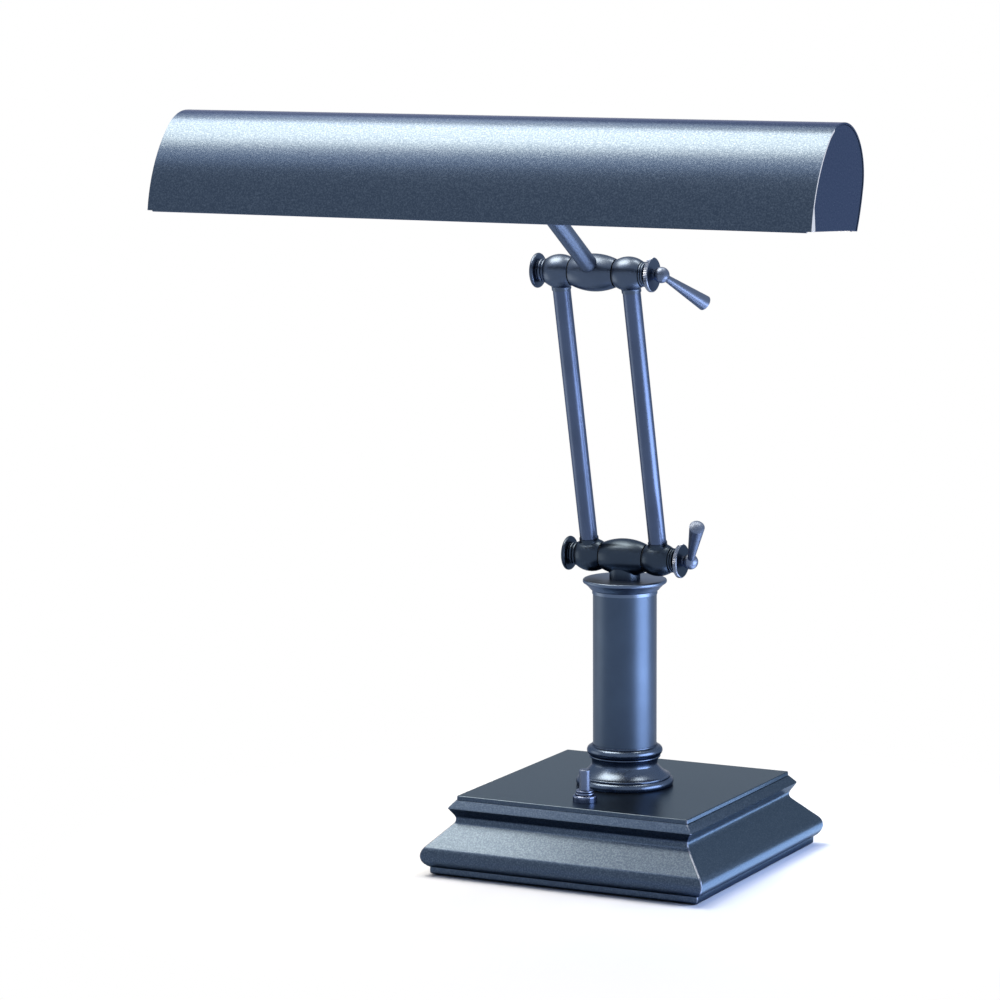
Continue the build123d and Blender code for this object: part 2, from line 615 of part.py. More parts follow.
def lever_ball(turn):
    neck = ALONG_X * (
        rod_between(BALL_NECK_RADIUS, DISC_END, BALL_X)
        + rod_between(BALL_SPIGOT_RADIUS, DISC_END - BOLT_END_WALL + 2 * FACE_GAP, BALL_X))
    ball = Pos(BALL_X, 0, 0) * Sphere(BALL_RADIUS) + neck
    depth = LEVER_SPIGOT_LENGTH + SEAT_GAP
    drill = rod_between(LEVER_SPIGOT_RADIUS + SEAT_GAP, BALL_FLAT - depth, BALL_FLAT)
    face = rod_between(BALL_RADIUS, BALL_FLAT, BALL_FLAT + OVERRUN)
    return ball - lever_frame(turn) * (drill + face)


def lever_handle(turn):
    """Tapered handle with a domed tip and a spigot in the ball."""
    dome_radius = (LEVER_TIP_RADIUS ** 2 + LEVER_DOME ** 2) / (2 * LEVER_DOME)
    rim_turn = degrees(acos(LEVER_TIP_RADIUS / dome_radius))
    dome_point = polar((0, LEVER_LENGTH - dome_radius), dome_radius, (rim_turn + 90) / 2)
    return lever_frame(turn) * spun([
        [(0, BALL_FLAT - LEVER_SPIGOT_LENGTH)], [(LEVER_SPIGOT_RADIUS, BALL_FLAT - LEVER_SPIGOT_LENGTH)],
        [(LEVER_SPIGOT_RADIUS, BALL_FLAT)], [(LEVER_ROOT_RADIUS, BALL_FLAT)],
        [(LEVER_TIP_RADIUS, LEVER_LENGTH - LEVER_DOME)], [dome_point, (0, LEVER_LENGTH)],
    ])


def arm_tube():
    low = TUBE_SOCKET_REACH - TUBE_INSERT
    return Pos(ARM_X, 0, 0) * tube_between(TUBE_RADIUS, TUBE_RADIUS - TUBE_WALL, low, ARM_LENGTH - low)


def left_of(piece):
    return mirror(piece, about=Plane.YZ)


# Shade, its section laid out in Y and Z from the wall point on the mount

def outward(heading):
    """Angle of the outward normal where the outline runs at a heading from straight up."""
    return 180 - heading


BACK_CENTRE = polar(WALL_POINT, -SHADE_BACK_RADIUS, -MOUNT_TILT)
CROWN_END = polar(BACK_CENTRE, SHADE_BACK_RADIUS, outward(CROWN_END_HEADING))
CROWN_CENTRE = polar(CROWN_END, -SHADE_CROWN_RADIUS, outward(CROWN_END_HEADING))
CROWN_START = polar(CROWN_CENTRE, SHADE_CROWN_RADIUS, outward(CROWN_START_HEADING))
FRONT_CENTRE = polar(CROWN_START, -SHADE_FRONT_RADIUS, outward(CROWN_START_HEADING))


def shade_rows(inset):
    """Front, crown and back arcs moved inwards by an inset."""
    rows = [[polar(FRONT_CENTRE, SHADE_FRONT_RADIUS - inset, outward(FRONT_LIP_HEADING))]]
    for centre, radius, start, end in (
        (FRONT_CENTRE, SHADE_FRONT_RADIUS, FRONT_LIP_HEADING, CROWN_START_HEADING),
        (CROWN_CENTRE, SHADE_CROWN_RADIUS, CROWN_START_HEADING, CROWN_END_HEADING),
        (BACK_CENTRE, SHADE_BACK_RADIUS, CROWN_END_HEADING, BACK_LIP_HEADING),
    ):
        middle = (start + end) / 2
        rows.append([polar(centre, radius - inset, outward(turn)) for turn in (middle, end)])
    return rows


def shade_filled(inset, length):
    """Trough section closed across its mouth."""
    return extrude(Plane.YZ * face_of(shade_rows(inset)), length / 2, both=True)


def shade_shell():
    outer = shade_rows(0)
    inner = shade_rows(SHADE_SHEET)
    points = [point for row in inner for point in row]
    points.reverse()
    back = [[points[0]], points[1:3], points[3:5], points[5:7]]
    shell = extrude(Plane.YZ * face_of(outer + back), SHADE_LENGTH / 2, both=True)
    for centre, radius, heading, rise in (
        (FRONT_CENTRE, SHADE_FRONT_RADIUS, FRONT_LIP_HEADING, HEM_RISE),
        (BACK_CENTRE, SHADE_BACK_RADIUS, BACK_LIP_HEADING, -HEM_RISE),
    ):
        turn = outward(heading + degrees(rise / radius))
        hem = Pos(*polar(centre, radius - HEM_RADIUS, turn)) * Circle(HEM_RADIUS)
        shell += extrude(Plane.YZ * hem, SHADE_LENGTH / 2 - HEM_SETBACK, both=True)
    return shell - MOUNT_FRAME * rod_between(NIPPLE_RADIUS + SEAT_GAP, -OVERRUN, SPACER_FLAT)


def end_plate():
    face = Plane.YZ * face_of(shade_rows(SHADE_SHEET + SEAT_GAP))
    outside = SHADE_LENGTH / 2 - END_PLATE_SETBACK
    return Pos(outside - END_PLATE_THICKNESS, 0, 0) * extrude(face, END_PLATE_THICKNESS)


def shade_rod():
    return tube_between(TUBE_RADIUS, TUBE_RADIUS - TUBE_WALL, BARREL_HOLLOW_RADIUS, ROD_REACH - ELBOW_SEAT)


def rod_elbow():
    """Ball elbow from the rod to a flange shaped to the back of the shade."""
    body = Pos(0, 0, -ELBOW_STANDOFF) * Sphere(ELBOW_RADIUS)
    body += rod_between(ELBOW_NECK_RADIUS, -ELBOW_STANDOFF, ELBOW_FLANGE)
    body += rod_between(ELBOW_FLANGE_RADIUS, -ELBOW_FLANGE, ELBOW_FLANGE)
    body -= rod_between(NIPPLE_RADIUS + SEAT_GAP, ELBOW_SEAT - ELBOW_STANDOFF, ELBOW_FLANGE + OVERRUN)
    body -= Pos(0, 0, -ELBOW_STANDOFF) * Sphere(WIRE_WAY_RADIUS)
    body = MOUNT_FRAME * body - shade_filled(-SEAT_GAP, SHADE_LENGTH)
    return body - ROD_FRAME * rod_between(TUBE_RADIUS + SEAT_GAP, 0, ROD_REACH - ELBOW_SEAT)


def mount_spacer():
    blank = MOUNT_FRAME * tube_between(SPACER_RADIUS, NIPPLE_RADIUS + SEAT_GAP, 0, SPACER_FLAT)
    return blank & shade_filled(SHADE_SHEET + SEAT_GAP, SHADE_LENGTH)


def mount_nipple():
    return MOUNT_FRAME * tube_between(
        NIPPLE_RADIUS, WIRE_WAY_RADIUS, ELBOW_SEAT - ELBOW_STANDOFF + SEAT_GAP, NIPPLE_END)


def mount_nut():
    seat = SPACER_FLAT + BRACKET_SHEET
    return MOUNT_FRAME * hex_nut(MOUNT_NUT_FLATS, NIPPLE_RADIUS + SEAT_GAP, seat, MOUNT_NUT_HEIGHT)


# Sockets and bulbs, drawn along Z from the outer face of a bracket ear

def socket_bracket():
    """Bent strap: a plate on the mount and two ears that hold the sockets."""
    width = 2 * BRACKET_PLATE_HALF
    plate = Pos(0, 0, SPACER_FLAT) * Box(2 * EAR_OUTER_X, width, BRACKET_SHEET, align=STANDING)
    plate -= rod_between(NIPPLE_RADIUS + SEAT_GAP, 0, SPACER_FLAT + BRACKET_SHEET + OVERRUN)
    root = Pos(0, SPACER_FLAT + BRACKET_SHEET / 2) * Rectangle(width, BRACKET_SHEET)
    disc = Pos(0, SOCKET_DEPTH) * Circle(BRACKET_EAR_RADIUS)
    ear = make_hull(root.edges() + disc.edges())
    ear -= Pos(0, SOCKET_DEPTH) * Circle(SOCKET_SCREW_RADIUS + SEAT_GAP)
    ear -= Pos(0, SOCKET_DEPTH - LEAD_HOLE_OFFSET) * Circle(WIRE_RADIUS + EASE_GAP)
    right = Pos(BRACKET_EAR_X, 0, 0) * extrude(Plane.YZ * ear, BRACKET_SHEET)
    return MOUNT_FRAME * (plate + right + left_of(right))


def socket_frame(side):
    """Frame with Z along a socket, at the outer face of its ear."""
    return MOUNT_FRAME * Pos(side * EAR_OUTER_X, 0, SOCKET_DEPTH) * Rot(0, side * 90, 0)


def socket_body(side):
    bore = SCREW_SHELL_RADIUS + SEAT_GAP
    body = spun([
        [(0, 0)], [(SOCKET_RADIUS, 0)], [(SOCKET_RADIUS, SOCKET_LENGTH)], [(bore, SOCKET_LENGTH)],
        [(bore, SOCKET_FLOOR)], [(0, SOCKET_FLOOR)],
    ])
    body -= rod_between(SOCKET_SCREW_RADIUS + SEAT_GAP, -OVERRUN, SOCKET_SCREW_DEPTH + SEAT_GAP)
    lead = rod_between(WIRE_RADIUS + EASE_GAP, -OVERRUN, LEAD_HOLE_DEPTH)
    return socket_frame(side) * (body - Pos(side * LEAD_HOLE_OFFSET, 0, 0) * lead)


def screw_shell(side):
    inside = SCREW_SHELL_RADIUS - SCREW_SHELL_WALL
    top = SOCKET_FLOOR + SCREW_SHELL_LENGTH
    return socket_frame(side) * tube_between(SCREW_SHELL_RADIUS, inside, SOCKET_FLOOR, top)


def centre_contacts():
    disc = rod_between(CONTACT_RADIUS, SOCKET_FLOOR, SOCKET_FLOOR + CONTACT_HEIGHT)
    return Compound([(socket_frame(side) * disc).solid() for side in (-1, 1)])


def socket_screws():
    screw = rod_between(SOCKET_SCREW_RADIUS, -BRACKET_SHEET, SOCKET_SCREW_DEPTH)
    screw += rod_between(SOCKET_SCREW_HEAD, -BRACKET_SHEET - SOCKET_SCREW_HEAD_HEIGHT, -BRACKET_SHEET)
    return Compound([(socket_frame(side) * screw).solid() for side in (-1, 1)])


CAP_LOW = SOCKET_FLOOR + CONTACT_HEIGHT + FACE_GAP
CAP_HIGH = CAP_LOW + BULB_CAP_LENGTH
END_PLATE_INSIDE = SHADE_LENGTH / 2 - END_PLATE_SETBACK - END_PLATE_THICKNESS
BULB_TOP = END_PLATE_INSIDE - BULB_END_GAP - EAR_OUTER_X


def bulb_cap(side):
    inside = BULB_CAP_RADIUS - BULB_CAP_WALL
    shoulder = CAP_LOW + BULB_TIP_HEIGHT + BULB_CONE_HEIGHT
    return socket_frame(side) * spun([
        [(0, CAP_LOW)], [(BULB_TIP_RADIUS, CAP_LOW)], [(BULB_TIP_RADIUS, CAP_LOW + BULB_TIP_HEIGHT)],
        [(BULB_CAP_RADIUS, shoulder)], [(BULB_CAP_RADIUS, CAP_HIGH)], [(inside, CAP_HIGH)],
        [(inside, shoulder)], [(0, shoulder)],
    ])


def bulb_outline(wall):
    """Tubular bulb with a necked root, every face moved inwards by a wall."""
    neck = BULB_NECK_RADIUS - wall
    body = BULB_RADIUS - wall
    low = CAP_HIGH - BULB_NECK_LENGTH
    middle = CAP_HIGH + BULB_SHOULDER / 2
    dome = (0, BULB_TOP - BULB_RADIUS)
    bend = (body - neck) / 6
    return spun([
        [(0, low)], [(neck, low)], [(neck, CAP_HIGH)],
        [(neck + bend, CAP_HIGH + BULB_SHOULDER / 4), ((neck + body) / 2, middle)],
        [(body - bend, middle + BULB_SHOULDER / 4), (body, CAP_HIGH + BULB_SHOULDER)],
        [(body, dome[1])], [polar(dome, body, 45), (0, dome[1] + body)],
    ])


def bulb_glass(side):
    return socket_frame(side) * (bulb_outline(0) - bulb_outline(GLASS_WALL))


def socket_leads():
    """Wires from the nipple through the ears into the sockets."""
    run = SOCKET_DEPTH - LEAD_HOLE_OFFSET
    start = NIPPLE_END - WIRE_ENTRY
    end = EAR_OUTER_X + LEAD_HOLE_DEPTH - EASE_GAP
    pair = [
        wire([(side * WIRE_OFFSET, 0, start), (side * WIRE_OFFSET, 0, run), (side * end, 0, run)])
        for side in (-1, 1)]
    return Compound([(MOUNT_FRAME * one).solid() for one in pair])


PARTS = {
    "base_casting": base_casting(),
    "base_weight": base_weight(),
    "bottom_cover": bottom_cover(),
    "felt_pad": slab_between(RECESS_HALF - COVER_GAP, 0, FELT_THICKNESS),
    "cover_screws": cover_screws(),
    "cord_bushing": BUSHING_PLACE * cord_bushing(),
    "switch_body": Pos(0, SWITCH_Y, 0) * switch_body(),
    "switch_nut": Pos(0, SWITCH_Y, 0) * switch_nut(),
    "switch_button": Pos(0, SWITCH_Y, 0) * switch_button(),
    "switch_leads": switch_leads(),
    "column_foot": column_foot(),
    "column_tube": tube_between(COLUMN_RADIUS, COLUMN_RADIUS - COLUMN_WALL, COLUMN_FOOT_TOP, COLUMN_TOP),
    "column_cap": column_cap(),
    "centre_pipe": tube_between(PIPE_RADIUS, PIPE_BORE, PIPE_LOW, LOWER_AXIS_Z - PIPE_TOP_GAP),
    "pipe_washer": tube_between(PIPE_WASHER_RADIUS, PIPE_RADIUS + EASE_GAP, PIPE_NUT_TOP, WEIGHT_LOW),
    "pipe_nut": hex_nut(PIPE_NUT_FLATS, PIPE_RADIUS + SEAT_GAP, PIPE_LOW + PIPE_TAIL, PIPE_NUT_HEIGHT),
    "lower_barrel": LOWER_HINGE * lower_barrel(),
    "lower_right_knuckle": ARM_FOOT * knuckle(),
    "lower_left_knuckle": ARM_FOOT * left_of(knuckle()),
    "upper_right_knuckle": ARM_HEAD * Rot(180, 0, 0) * knuckle(),
    "upper_left_knuckle": ARM_HEAD * Rot(180, 0, 0) * left_of(knuckle()),
    "right_arm_tube": ARM_FOOT * arm_tube(),
    "left_arm_tube": ARM_FOOT * left_of(arm_tube()),
    "upper_barrel": ROD_FRAME * upper_barrel(),
    "shade_rod": ROD_FRAME * shade_rod(),
    "rod_elbow": rod_elbow(),
    "shade_shell": shade_shell(),
    "right_end_plate": end_plate(),
    "left_end_plate": left_of(end_plate()),
    "mount_spacer": mount_spacer(),
    "mount_nipple": mount_nipple(),
    "mount_nut": mount_nut(),
    "socket_bracket": socket_bracket(),
    "socket_screws": socket_screws(),
    "centre_contacts": centre_contacts(),
    "socket_leads": socket_leads(),
}
HINGES = {"lower": (LOWER_HINGE, LOWER_LEVER_TURN), "upper": (UPPER_HINGE, UPPER_LEVER_TURN)}
for hinge, (place, turn) in HINGES.items():
    PARTS[hinge + "_bolt"] = place * bolt()
    PARTS[hinge + "_washers"] = place * washers()
    PARTS[hinge + "_cap_nut"] = place * cap_nut()
    PARTS[hinge + "_clamp_nut"] = place * clamp_nut()
    PARTS[hinge + "_lever_ball"] = place * lever_ball(turn)
    PARTS[hinge + "_lever_handle"] = place * lever_handle(turn)
for name, side in (("left", -1), ("right", 1)):
    PARTS[name + "_socket_body"] = socket_body(side)
    PARTS[name + "_screw_shell"] = screw_shell(side)
    PARTS[name + "_bulb_cap"] = bulb_cap(side)
    PARTS[name + "_bulb_glass"] = bulb_glass(side)

os.makedirs("parts", exist_ok=True)
for name, shape in PARTS.items():
    export_step(shape, "parts/" + name + ".step")
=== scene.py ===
import json
from collections import namedtuple
from math import copysign, cos, radians, sin

import bmesh
import bpy
from mathutils import Matrix, Vector


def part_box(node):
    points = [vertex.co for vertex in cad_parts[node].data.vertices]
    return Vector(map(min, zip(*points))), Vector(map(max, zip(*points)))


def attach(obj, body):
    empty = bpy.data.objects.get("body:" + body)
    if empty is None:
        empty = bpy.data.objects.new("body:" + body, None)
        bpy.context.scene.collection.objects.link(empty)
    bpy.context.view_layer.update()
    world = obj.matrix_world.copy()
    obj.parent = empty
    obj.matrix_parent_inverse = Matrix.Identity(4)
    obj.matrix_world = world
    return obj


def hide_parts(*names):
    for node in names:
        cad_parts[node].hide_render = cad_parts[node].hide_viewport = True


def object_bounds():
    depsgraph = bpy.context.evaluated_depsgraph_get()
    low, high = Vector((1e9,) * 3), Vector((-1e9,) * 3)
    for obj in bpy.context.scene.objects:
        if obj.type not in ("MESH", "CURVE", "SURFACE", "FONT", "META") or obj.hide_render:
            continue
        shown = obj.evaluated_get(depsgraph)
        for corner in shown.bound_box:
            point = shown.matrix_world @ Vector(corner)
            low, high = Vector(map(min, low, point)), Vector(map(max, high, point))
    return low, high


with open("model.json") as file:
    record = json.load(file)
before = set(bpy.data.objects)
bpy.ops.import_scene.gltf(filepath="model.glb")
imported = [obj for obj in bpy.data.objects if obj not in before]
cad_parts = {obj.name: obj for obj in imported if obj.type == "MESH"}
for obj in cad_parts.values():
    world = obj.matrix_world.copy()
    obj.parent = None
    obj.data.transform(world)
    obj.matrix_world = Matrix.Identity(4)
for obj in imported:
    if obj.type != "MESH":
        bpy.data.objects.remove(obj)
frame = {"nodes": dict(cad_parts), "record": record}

bl_info = {
    "name": "Trough shade desk lamp",
    "version": (1, 0, 0),
    "blender": (4, 5, 0),
    "location": "3D View > Sidebar > Desk lamp",
    "description": "Eases a desk lamp's edges, gives each piece its finish and sets the studio",
    "category": "Object",
}

MM = 0.001
CAD_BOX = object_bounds()

# Along the shade, from front to back, and up
LENGTH = (1, 0, 0)
DEPTH = (0, 1, 0)
HEIGHT = (0, 0, 1)

# Curve from sRGB values to linear light
SRGB_TOE = 0.04045
SRGB_TOE_SLOPE = 12.92
SRGB_OFFSET = 0.055
SRGB_POWER = 2.4
WHITE = (1, 1, 1)

# Faces that meet within FLAT_ANGLE become one, and edges sharper than SMOOTH_ANGLE are rounded
FLAT_ANGLE = radians(0.5)
SMOOTH_ANGLE = radians(28)
WELD_DISTANCE = 0.002 * MM
ROUND_SEGMENTS = 3
ROUND_PROFILE = 0.5

# Base: where its mitres lie and how far their roundings turn, then the lip, its nose and the bevel over it
MITRE_REACH = 60 * MM
MITRE_SHARE = 0.15
LIP_REACH = 69.24 * MM
LIP_LEVEL = 34.5 * MM
NOSE_LEVEL = 35.6 * MM
NOSE_PUSH = 1 * MM
SLAB_LEVEL = 38.6 * MM
BEVEL_SHARE = 0.3

# Shade: how plainly a face looks inward, down or endwise, then the strips that are coated, lined, or
# painted pale as a painted highlight
INSIDE_SHARE = 0.02
DOWN_SHARE = 0.5
END_SHARE = 0.8
LIP_BAND = 1.2 * MM
LINING_MARGIN = 3.0 * MM
CROWN_GAP = 10 * MM
HEM_CORNER_DEPTH = 4.4 * MM
HEM_CORNER_HEIGHT = 15 * MM
COAT, LINING, PAINTED_EDGE_GLINT = range(3)

# Clamp nuts: the share of their radius at which the knurled rim starts
RIM_SHARE = 0.88

# Powder coat: relief of its orange peel, the part of the grit that shows as flake, and its roughness
PEEL_RELIEF = 0.06 * MM
PEEL_STRENGTH = 0.5
PEEL_DETAIL = 2
PEEL_BREAKUP = 0.6
FLAKE_START = 0.42
FLAKE_FULL = 0.78
BASE_GLOSS = (0.26, 0.33)
SHADE_GLOSS = (0.23, 0.29)

# Plating: tone of its clouds, relief of its grain, and the roughness of the painted highlights on the
# mitres and knurls
CLOUD_DARK = 0.82
CLOUD_LIGHT = 1.18
CLOUD_DETAIL = 3
GRAIN_RELIEF = 0.003 * MM
GRAIN_STRENGTH = 0.1
GRAIN_DETAIL = 1
GLINT_GLOSS = (0.28, 0.36)

# Other materials: tone and strength of their one grain
FLECK_DARK = 0.8
FLECK_LIGHT = 1.15
FLECK_STRENGTH = 0.5
FLECK_DETAIL = 3


def linear(colour):
    """Linear red, green and blue of an sRGB hex colour."""
    parts = [int(colour[i:i + 2], 16) / 255 for i in (1, 3, 5)]
    return tuple(
        p / SRGB_TOE_SLOPE if p <= SRGB_TOE else ((p + SRGB_OFFSET) / (1 + SRGB_OFFSET)) ** SRGB_POWER
        for p in parts)


def length(name, description, default):
    """Length setting in metres."""
    return bpy.props.FloatProperty(
        name=name, description=description, default=default, min=0, precision=5,
        subtype="DISTANCE", unit="LENGTH")


def tint(name, description, colour):
    """Colour setting from an sRGB hex value."""
    return bpy.props.FloatVectorProperty(
        name=name, description=description, default=linear(colour), min=0, max=1, size=3, subtype="COLOR")


def angle(name, description, degrees):
    """Angle setting from degrees."""
    return bpy.props.FloatProperty(
        name=name, description=description, default=radians(degrees), subtype="ANGLE", unit="ROTATION")


def lens_size(name, description, default):
    """Lens or sensor setting in millimetres, as Blender's cameras take them."""
    return bpy.props.FloatProperty(
        name=name, description=description, default=default, subtype="DISTANCE_CAMERA", unit="CAMERA")


def power(name, description, default):
    """Lamp power setting in watts."""
    return bpy.props.FloatProperty(name=name, description=description, default=default, min=0, unit="POWER")


class LampFinishes(bpy.types.PropertyGroup):
    """Finishes"""
    powder: tint("Powder coat", "Dark gunmetal of the shade and the base", "#334053")
    powder_flake: tint("Powder flake", "Lighter metal flake in the powder coat", "#4b596c")
    column: tint("Column plating", "Satin gunmetal of the column", "#39485f")
    tube: tint("Tube plating", "Satin gunmetal of the arms", "#42506c")
    rod: tint("Rod plating", "Lighter satin gunmetal of the rod behind the shade", "#516079")
    # Column cap: the column's plating painted paler, a painted highlight on its rim
    cap: tint("Cap plating", "Lighter gunmetal of the rim on the column", "#50607a")
    casting: tint("Casting plating", "Dark gunmetal of the upper hinge", "#414e64")
    # Lower hinge: the casting plating painted darker, a painted shade where less light falls
    low_casting: tint("Low casting plating", "Deeper gunmetal of the lower hinge", "#2d3848")
    foot: tint("Foot plating", "Polished dark gunmetal of the column's foot", "#3f4d64")
    # Switch nut and collar: plating painted paler than their dark tone, a painted highlight on the rings
    switch: tint("Switch plating", "Polished gunmetal of the switch's nut and collar", "#586684")
    lever: tint("Lever plating", "Bright gunmetal of the levers and the button", "#576580")
    shade_edge: tint("Shade glare", "Blue cast of the shade's film at a glancing angle", "#bec4e2")
    base_edge: tint("Base glare", "Grey cast of the base's film at a glancing angle", "#bcc4cb")
    column_edge: tint("Column glare", "Pale cast of the column's plating at a glancing angle", "#e8ecf2")
    edge: tint("Plating glare", "Grey cast of the other plating at a glancing angle", "#bcc1cc")
    # Cut ends of the shade: pale steel painted on, a painted highlight
    bare: tint("Bare steel", "Steel at the shade's cut ends", "#d2d9e8")
    # Knurled rims: a brighter plating painted on, a painted highlight on the teeth
    knurl: tint("Rubbed knurl", "Brighter plating on the rims of the clamp nuts", "#6d7990")
    # Mitres of the base: a paler colour painted on, a painted highlight along each corner
    rubbed: tint("Rubbed edge", "Thin coat on the base's mitres", "#566278")
    lining: tint("Shade lining", "White enamel inside the shade", "#ece9e0")
    zinc: tint("Zinc plate", "Bright zinc on nuts and brackets", "#b9bcc0")
    iron: tint("Cast iron", "Raw iron of the weight", "#4a4846")
    felt: tint("Wool felt", "Charcoal felt under the base", "#2e3033")
    nylon: tint("Nylon", "Black nylon of the cord inlet", "#1d1e20")
    fibre: tint("Fibre", "Dark pressed fibre of the friction washers", "#3a4048")
    phenolic: tint("Phenolic", "Black moulded phenolic of the sockets", "#1a1918")
    brass: tint("Brass", "Drawn brass of the screw shells", "#c9a35a")
    aluminium: tint("Aluminium", "Drawn aluminium of the bulb caps", "#c4c6c8")
    glass: tint("Frosted glass", "Inside-frosted glass of the bulbs", "#f3f1ea")
    wire: tint("Wire jacket", "White plastic jacket of the leads", "#dcdad2")
    # Real orange peel is about 0.4 mm across. It is drawn coarser, so that it shows in the render.
    powder_grit: length("Powder grit", "Spacing of the texture in the powder coat", 0.8 * MM)
    # The grain of real plating and the frost of real glass are below 0.1 mm. Both are drawn coarser too.
    plating_grain: length("Plating grain", "Spacing of the fine grain in the plating", 0.7 * MM)
    glass_frost: length("Glass frost", "Spacing of the frosting in the bulbs", 0.5 * MM)
    plating_cloud: length("Plating cloud", "Width of a cloud in the plating", 18 * MM)
    felt_fibre: length("Felt fibre", "Width of a tuft of felt", 1.2 * MM)
    casting_grain: length("Casting grain", "Width of a sand grain print in the iron", 1.5 * MM)
    enamel_ripple: length("Enamel ripple", "Width of a ripple in the lining", 3 * MM)
    drawn_mark: length("Drawn mark", "Width of a faint mark on drawn or plated metal", 2 * MM)
    flow_mark: length("Flow mark", "Width of a faint flow mark in the moulded sockets", 2 * MM)
    mould_grain: length("Mould grain", "Width of a grain from the mould of the nylon", 1 * MM)
    jacket_mark: length("Jacket mark", "Width of a scuff on the leads", 1 * MM)
    fibre_bundle: length("Fibre bundle", "Width of a bundle of fibres in the washers", 0.8 * MM)


class LampEdges(bpy.types.PropertyGroup):
    """Edges"""
    base: length("Base arris", "Rounding of the base's long arrises", 0.5 * MM)
    mitre: length("Base mitre", "Rounding of the base's mitred corners", 0.7 * MM)
    shade: length("Shade edge", "Rounding of the shade's cut ends", 0.35 * MM)
    turned: length("Turned edge", "Rounding of the steps on turned pieces", 0.14 * MM)


class LampStage(bpy.types.PropertyGroup):
    """Camera, floor and lights"""
    eye: bpy.props.FloatVectorProperty(
        name="Camera place", description="Where the photograph was taken from", size=3,
        subtype="TRANSLATION", unit="LENGTH", default=(0.874455, -1.860685, 0.486826))
    yaw: angle("Camera yaw", "Turn of the camera round the column", 26.986)
    pitch: angle("Camera pitch", "How far the camera looks down", 8.166)
    roll: angle("Camera roll", "Lean of the picture", -0.235)
    lens: lens_size("Lens", "Focal length on the square sensor", 143.37)
    sensor: lens_size("Sensor", "Width of the sensor", 36)
    floor: tint("Floor", "Pale floor", "#c0d2f4")
    floor_half: length("Floor half width", "Half the width of the floor", 4.0)
    floor_near: length("Floor fade start", "How far from the column the floor starts to whiten", 0.13)
    floor_far: length("Floor fade end", "How far from the column the floor is plain white", 0.31)
    fill: bpy.props.FloatProperty(
        name="Fill light", description="Level of the light from all round", default=0.12, min=0)
    key: power("Key light", "Power of the soft box over the left side", 47)
    front: power("Front light", "Power of the weaker box in front of the key", 1.7)
    back: power("Back light", "Power of the box behind the shade's crown", 5)
    low: power("Low light", "Power of the strip on the floor along the right side", 0.3)
    side: power("Side light", "Power of the panel on the right", 1.5)
    top: power("Top light", "Power of the small box on the right over the base", 10)
    left: power("Left light", "Power of the strip on the left", 0.4)
    key_tint: tint("Key tint", "Slightly warm light of the soft boxes", "#ffe5be")
    side_tint: tint("Side tint", "Slightly cool light of the panels", "#eef2ff")


# Shader building

def add_node(tree, kind, inputs=None, **options):
    """Adds a node, sets its options and fills its sockets with values or links."""
    made = tree.nodes.new(kind)
    for key, value in options.items():
        setattr(made, key, value)
    for socket, value in (inputs or {}).items():
        if isinstance(value, bpy.types.NodeSocket):
            tree.links.new(value, made.inputs[socket])
        else:
            made.inputs[socket].default_value = value
    return made


def new_material(name):
    """Empty material and its node tree."""
    made = bpy.data.materials.new(name)
    made.use_nodes = True
    made.node_tree.nodes.clear()
    return made, made.node_tree


def opaque(colour, share=1):
    """Red, green, blue and alpha of a colour at a share of its brightness."""
    return (*(min(1, part * share) for part in colour), 1)


def seen_rays(tree):
    """1 for rays that show the background: to the camera, off a gloss or through glass."""
    ray = add_node(tree, "ShaderNodeLightPath").outputs
    direct = {0: ray["Is Camera Ray"], 1: ray["Is Glossy Ray"]}
    seen = add_node(tree, "ShaderNodeMath", direct, operation="MAXIMUM").outputs[0]
    through = {0: seen, 1: ray["Is Transmission Ray"]}
    return add_node(tree, "ShaderNodeMath", through, operation="MAXIMUM").outputs[0]


# Powder coat with metal flake, sprayed on steel and cast metal and baked. Its orange peel breaks up the
# edge of each reflection, the flake sparkles a little, and the film is a satin, cool dark grey.
def powder_coat(name, glare, gloss, finishes):
    """Textured powder coat whose grit sets its flake, relief and roughness."""
    smooth, rough = gloss
    made, tree = new_material(name)
    place = add_node(tree, "ShaderNodeTexCoord").outputs["Object"]
    grit = add_node(tree, "ShaderNodeTexNoise", {
        "Vector": place, "Scale": 1 / finishes.powder_grit,
        "Detail": PEEL_DETAIL, "Roughness": PEEL_BREAKUP}).outputs["Fac"]
    flake = add_node(tree, "ShaderNodeValToRGB", {"Fac": grit})
    film_end, flake_end = flake.color_ramp.elements
    film_end.position = FLAKE_START
    film_end.color = opaque(finishes.powder)
    flake_end.position = FLAKE_FULL
    flake_end.color = opaque(finishes.powder_flake)
    peel = add_node(tree, "ShaderNodeBump", {
        "Height": grit, "Strength": PEEL_STRENGTH, "Distance": PEEL_RELIEF})
    haze = add_node(tree, "ShaderNodeMapRange", {"Value": grit, "To Min": smooth, "To Max": rough})
    shader = add_node(tree, "ShaderNodeBsdfPrincipled", {
        "Base Color": flake.outputs["Color"], "Metallic": 1, "Roughness": haze.outputs["Result"],
        "Specular Tint": opaque(glare), "Normal": peel.outputs["Normal"]})
    add_node(tree, "ShaderNodeOutputMaterial", {"Surface": shader.outputs["BSDF"]})
    return made


